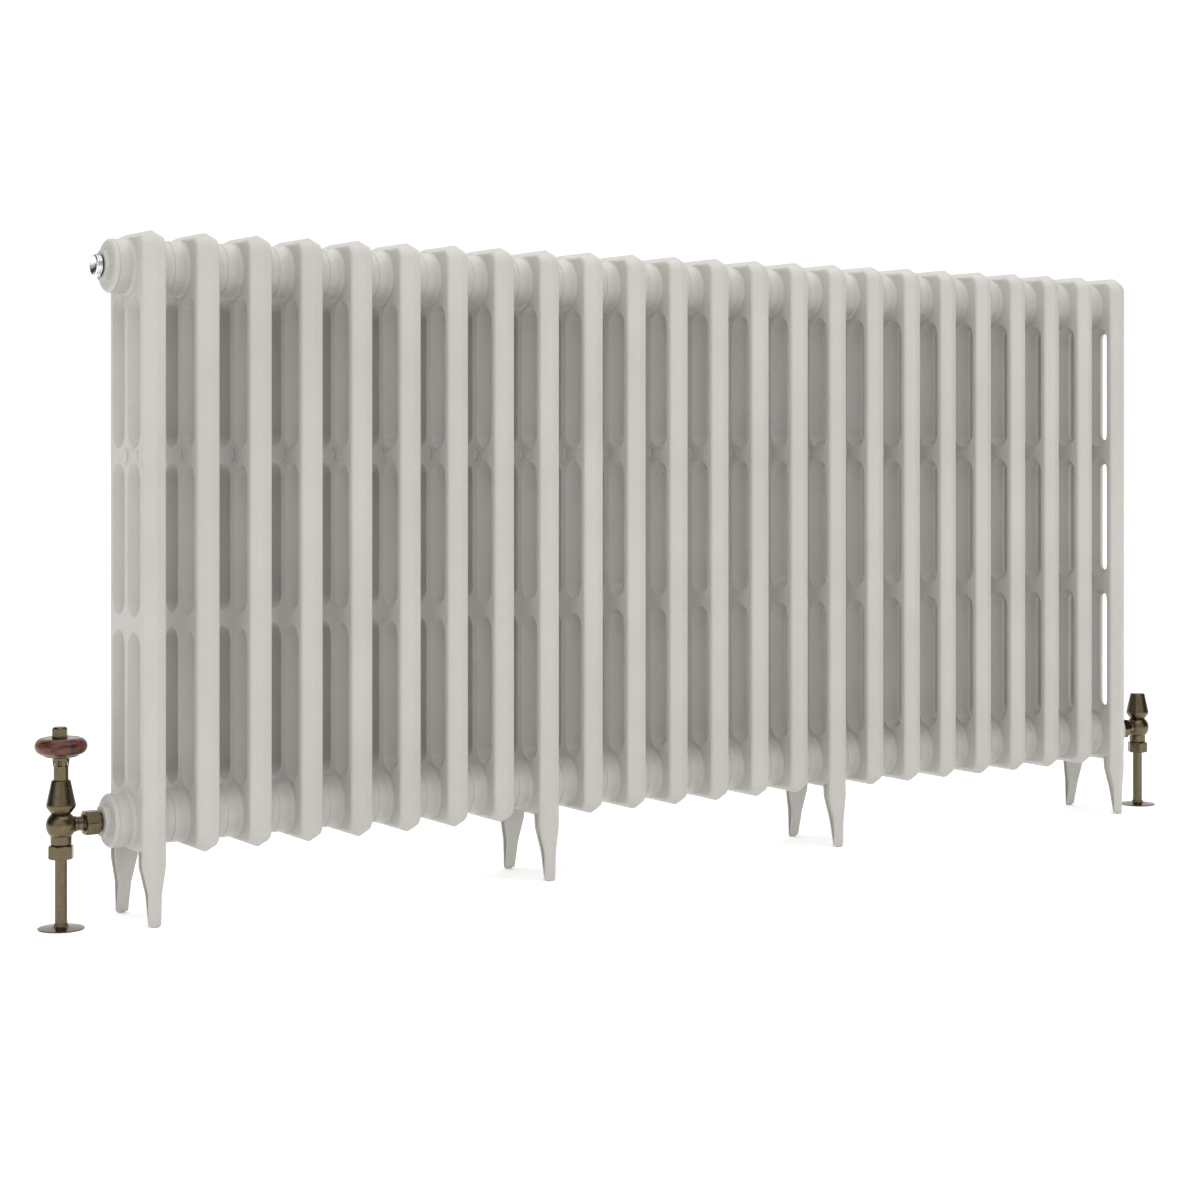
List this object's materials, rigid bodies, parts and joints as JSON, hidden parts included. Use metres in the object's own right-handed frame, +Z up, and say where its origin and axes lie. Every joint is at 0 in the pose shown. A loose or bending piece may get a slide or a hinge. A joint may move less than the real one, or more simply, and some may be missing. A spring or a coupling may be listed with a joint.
{
  "type": "cast iron column radiator",
  "caption": "Free-standing cast iron column radiator on legs, with a wooden-wheeled thermostatic valve, a lockshield valve, an air vent and floor pipes.",
  "frame": {"origin": "middle of the footprint on the floor: half way between the outermost edges in X, on the hub axis in Y, at the feet's underside in Z", "axes": "+X along the length towards the lockshield valve, +Y to the back, +Z up"},
  "size_m": [1.599, 0.1036, 0.7225],
  "materials": {
    "painted_iron": "satin warm pale grey paint over cast iron",
    "painted_fitting": "the same satin paint over iron bushes and the blank plug",
    "bare_iron": "machined iron",
    "fibre": "thin pressed fibre, painted over at its edge",
    "black_rubber": "moulded seal",
    "chrome_plate": "bright plated",
    "bare_brass": "plain machined",
    "antique_brass": "darkened and satin lacquered",
    "lacquered_wood": "figured red-brown wood under high-gloss lacquer",
    "black_wood": "black strip under high-gloss lacquer"
  },
  "bodies": {
    "radiator": {"section_01": "painted_iron", "section_02": "painted_iron", "section_03": "painted_iron", "section_04": "painted_iron", "section_05": "painted_iron", "section_06": "painted_iron", "section_07": "painted_iron", "section_08": "painted_iron", "section_09": "painted_iron", "section_10": "painted_iron", "section_11": "painted_iron", "section_12": "painted_iron", "section_13": "painted_iron", "section_14": "painted_iron", "section_15": "painted_iron", "section_16": "painted_iron", "section_17": "painted_iron", "section_18": "painted_iron", "section_19": "painted_iron", "section_20": "painted_iron", "section_21": "painted_iron", "section_22": "painted_iron", "section_23": "painted_iron", "section_24": "painted_iron", "upper_left_bush": "painted_fitting", "lower_left_bush": "painted_fitting", "lower_right_bush": "painted_fitting", "blank_plug": "painted_fitting", "hub_nipples": "bare_iron", "sealing_rings": "fibre", "vent_seal": "black_rubber", "vent_plug": "chrome_plate", "thermostatic_body": "antique_brass", "lockshield_body": "antique_brass", "thermostatic_tail": "antique_brass", "lockshield_tail": "antique_brass", "union_nuts": "antique_brass", "compression_nuts": "antique_brass", "thermostatic_pipe": "antique_brass", "lockshield_pipe": "antique_brass", "thermostatic_skirt": "antique_brass", "thermostatic_neck": "antique_brass", "thermostatic_bonnet": "bare_brass", "lockshield_bonnet": "bare_brass", "olives": "bare_brass", "thermostatic_sensor": "bare_brass"},
    "wheel_head": {"wheel_spindle": "antique_brass", "wheel_plate": "antique_brass", "wheel": "lacquered_wood", "wheel_inlay": "black_wood", "wheel_finial": "antique_brass"},
    "valve_pin": {"thermostatic_pin": "bare_brass"},
    "cap": {"lockshield_cap": "antique_brass"},
    "regulating_spindle": {"lockshield_spindle": "bare_brass", "lockshield_disc": "bare_brass"},
    "bleed_screw": {"vent_screw": "bare_brass"},
    "left_rosette": {"thermostatic_rosette": "antique_brass"},
    "right_rosette": {"lockshield_rosette": "antique_brass"}
  },
  "joints": [
    {"name": "wheel_turn", "type": "hinge", "parent": "radiator", "child": "wheel_head", "pos_m": [-0.7725, 0, 0.107], "axis": [0, 0, 1], "range_deg": [0, 300]},
    {"name": "pin_travel", "type": "slide", "parent": "radiator", "child": "valve_pin", "axis": [0, 0, 1], "range_m": [0, 0.0025]},
    {"name": "cap_lift", "type": "slide", "parent": "radiator", "child": "cap", "axis": [0, 0, 1], "range_m": [0, 0.045]},
    {"name": "spindle_turn", "type": "hinge", "parent": "radiator", "child": "regulating_spindle", "pos_m": [0.7755, 0, 0.107], "axis": [0, 0, 1], "range_deg": [0, 720]},
    {"name": "bleed_turn", "type": "hinge", "parent": "radiator", "child": "bleed_screw", "pos_m": [-0.7334, 0, 0.6865], "axis": [-1, 0, 0], "range_deg": [0, 360]},
    {"name": "left_rosette_lift", "type": "slide", "parent": "radiator", "child": "left_rosette", "axis": [0, 0, 1], "range_m": [0, 0.06]},
    {"name": "right_rosette_lift", "type": "slide", "parent": "radiator", "child": "right_rosette", "axis": [0, 0, 1], "range_m": [0, 0.06]}
  ]
}
